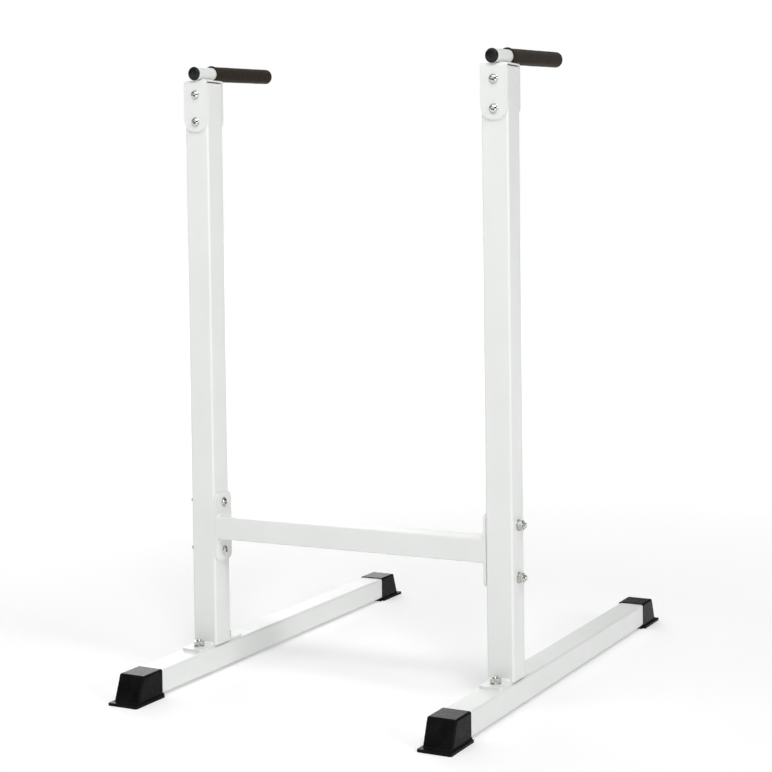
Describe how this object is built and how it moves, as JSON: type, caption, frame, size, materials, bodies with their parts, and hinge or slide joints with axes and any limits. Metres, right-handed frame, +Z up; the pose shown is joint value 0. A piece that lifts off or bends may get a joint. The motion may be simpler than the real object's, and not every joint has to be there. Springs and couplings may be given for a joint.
{
  "type": "dip station",
  "caption": "Free-standing dip station: box-tube uprights on long floor tubes, tied by a crossbar, with foam-covered handles on top.",
  "frame": {"origin": "on the floor, midway between the two sides and midway along the floor tubes", "axes": "+X to the right seen from the front, +Y from the front to the rear (the way the handles point), +Z up"},
  "size_m": [0.682, 1, 1.139],
  "materials": {
    "powder_coat": "satin white powder coat with fine texture",
    "zinc_plate": "bright zinc plate",
    "cap_rubber": "moulded black rubber, satin",
    "grip_foam": "closed-cell foam rubber, matte",
    "plug_plastic": "moulded black plastic, semi-gloss"
  },
  "bodies": {
    "root": {"crossbar_bolts_left": "zinc_plate", "crossbar_bolts_right": "zinc_plate", "crossbar_end_plate_left": "powder_coat", "crossbar_end_plate_right": "powder_coat", "crossbar_nuts_left": "zinc_plate", "crossbar_nuts_right": "zinc_plate", "crossbar_tube": "powder_coat", "crossbar_washers_left": "zinc_plate", "crossbar_washers_right": "zinc_plate", "crossbar_weld_left": "powder_coat", "crossbar_weld_right": "powder_coat", "floor_tube_left": "powder_coat", "floor_tube_right": "powder_coat", "foam_grip_left": "grip_foam", "foam_grip_right": "grip_foam", "foot_bolts_left": "zinc_plate", "foot_bolts_right": "zinc_plate", "foot_cap_front_left": "cap_rubber", "foot_cap_front_right": "cap_rubber", "foot_cap_rear_left": "cap_rubber", "foot_cap_rear_right": "cap_rubber", "foot_nuts_left": "zinc_plate", "foot_nuts_right": "zinc_plate", "foot_plate_left": "powder_coat", "foot_plate_right": "powder_coat", "foot_washers_left": "zinc_plate", "foot_washers_right": "zinc_plate", "handle_bolts_left": "zinc_plate", "handle_bolts_right": "zinc_plate", "handle_nuts_left": "zinc_plate", "handle_nuts_right": "zinc_plate", "handle_plug_left": "plug_plastic", "handle_plug_right": "plug_plastic", "handle_saddle_left": "powder_coat", "handle_saddle_right": "powder_coat", "handle_tube_left": "powder_coat", "handle_tube_right": "powder_coat", "handle_washers_left": "zinc_plate", "handle_washers_right": "zinc_plate", "handle_weld_left": "powder_coat", "handle_weld_right": "powder_coat", "upright_tube_left": "powder_coat", "upright_tube_right": "powder_coat", "upright_weld_left": "powder_coat", "upright_weld_right": "powder_coat"}
  },
  "joints": []
}
